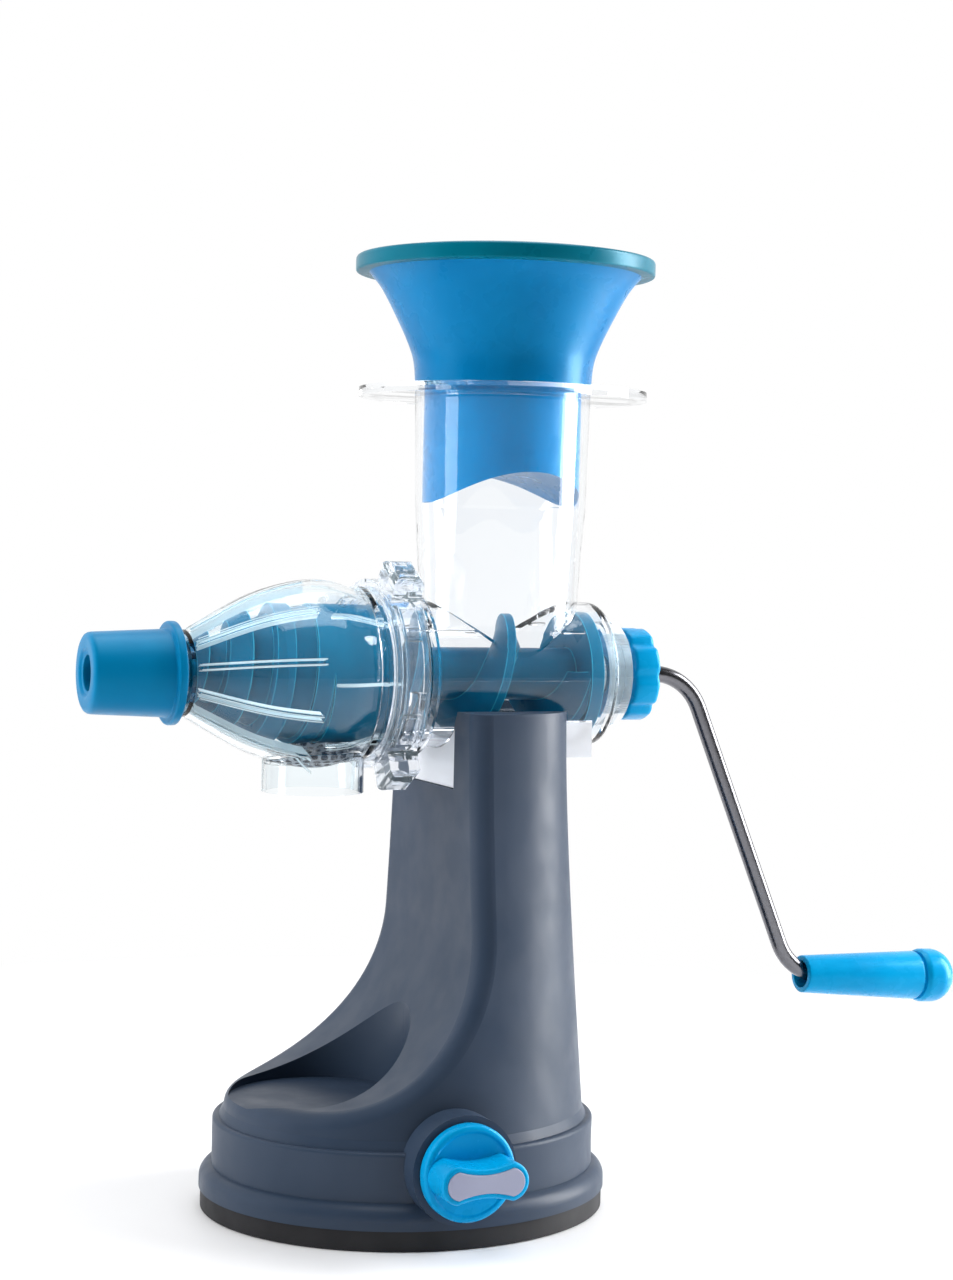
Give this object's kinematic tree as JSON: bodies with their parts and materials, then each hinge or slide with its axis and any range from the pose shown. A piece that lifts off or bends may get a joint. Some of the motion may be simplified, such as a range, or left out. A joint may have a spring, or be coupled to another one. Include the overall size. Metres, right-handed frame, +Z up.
{
  "type": "hand cranked screw juicer",
  "caption": "Hand cranked screw juicer: suction foot, column with a glass dish, clear barrel with hopper, auger, press cone, strainer, bent crank and plunger.",
  "frame": {"origin": "centre of the foot's flat underside", "axes": "+Z up; +X along the barrel from the pulp outlet to the crank; -Y is the side of the suction lock knob"},
  "size_m": [0.3345, 0.1452, 0.3262],
  "materials": {
    "grey_abs": "fine matt texture",
    "black_rubber": "matt",
    "clear_polycarbonate": "clear, polished",
    "bright_blue": "moulded gloss",
    "auger_blue": "moulded gloss",
    "cap_blue": "satin",
    "pusher_blue": "moulded gloss",
    "lid_teal": "satin",
    "polished_steel": "polished",
    "lock_inlay": "satin",
    "zinc_steel": "zinc plated",
    "brass": "turned",
    "white_acetal": "smooth",
    "silicone": "soft"
  },
  "bodies": {
    "base": {"base_body": "grey_abs", "suction_pad": "black_rubber", "juicer_barrel": "clear_polycarbonate", "rear_bush": "white_acetal", "rear_seal": "silicone", "cone_seal": "silicone", "press_cone": "clear_polycarbonate", "strainer": "clear_polycarbonate"},
    "drive": {"auger": "auger_blue", "auger_insert": "brass", "drive_knob": "bright_blue", "crank_rod": "polished_steel", "grip_washer": "zinc_steel"},
    "grip": {"grip_sleeve": "bright_blue", "grip_end_cap": "bright_blue"},
    "pulp_cap_slide": {"waste_cap_washer": "silicone"},
    "pulp_cap": {"waste_cap": "cap_blue"},
    "ring": {"locking_ring": "clear_polycarbonate"},
    "lock": {"lock_knob": "bright_blue", "lock_knob_inlay": "lock_inlay", "lock_knob_screw": "zinc_steel", "cam_shaft": "zinc_steel", "shaft_clip": "zinc_steel"},
    "stem": {"suction_stem": "white_acetal"},
    "pusher": {"pusher_body": "pusher_blue", "pusher_cap": "lid_teal"}
  },
  "joints": [
    {"name": "crank_spin", "type": "hinge", "parent": "base", "child": "drive", "pos_m": [0.07, 0, 0.1806], "axis": [1, 0, 0], "continuous": true},
    {"name": "grip_spin", "type": "hinge", "parent": "drive", "child": "grip", "pos_m": [0.156, 0, 0.0702], "axis": [0.9984, 0, -0.0558], "continuous": true},
    {"name": "pulp_cap_travel", "type": "slide", "parent": "base", "child": "pulp_cap_slide", "axis": [-1, 0, 0], "range_m": [0, 0.0046]},
    {"name": "pulp_cap_turn", "type": "hinge", "parent": "pulp_cap_slide", "child": "pulp_cap", "pos_m": [-0.1, 0, 0.1806], "axis": [-1, 0, 0], "range_deg": [0, 540]},
    {"name": "ring_turn", "type": "hinge", "parent": "base", "child": "ring", "pos_m": [-0.009, 0, 0.1806], "axis": [-1, 0, 0], "range_deg": [0, 45]},
    {"name": "lock_turn", "type": "hinge", "parent": "base", "child": "lock", "pos_m": [-0.004, -0.06, 0.0255], "axis": [0, -1, 0], "range_deg": [0, 90]},
    {"name": "suction_lift", "type": "slide", "parent": "base", "child": "stem", "axis": [0, 0, 1], "range_m": [0, 0.0031]},
    {"name": "pusher_lift", "type": "slide", "parent": "base", "child": "pusher", "axis": [0, 0, 1], "range_m": [0, 0.06]}
  ],
  "couplings": [
    {"joint": "pulp_cap_travel", "follows": "pulp_cap_turn", "m_per_rad": 0.00047746},
    {"joint": "suction_lift", "follows": "lock_turn", "m_per_rad": 0.0019099}
  ]
}
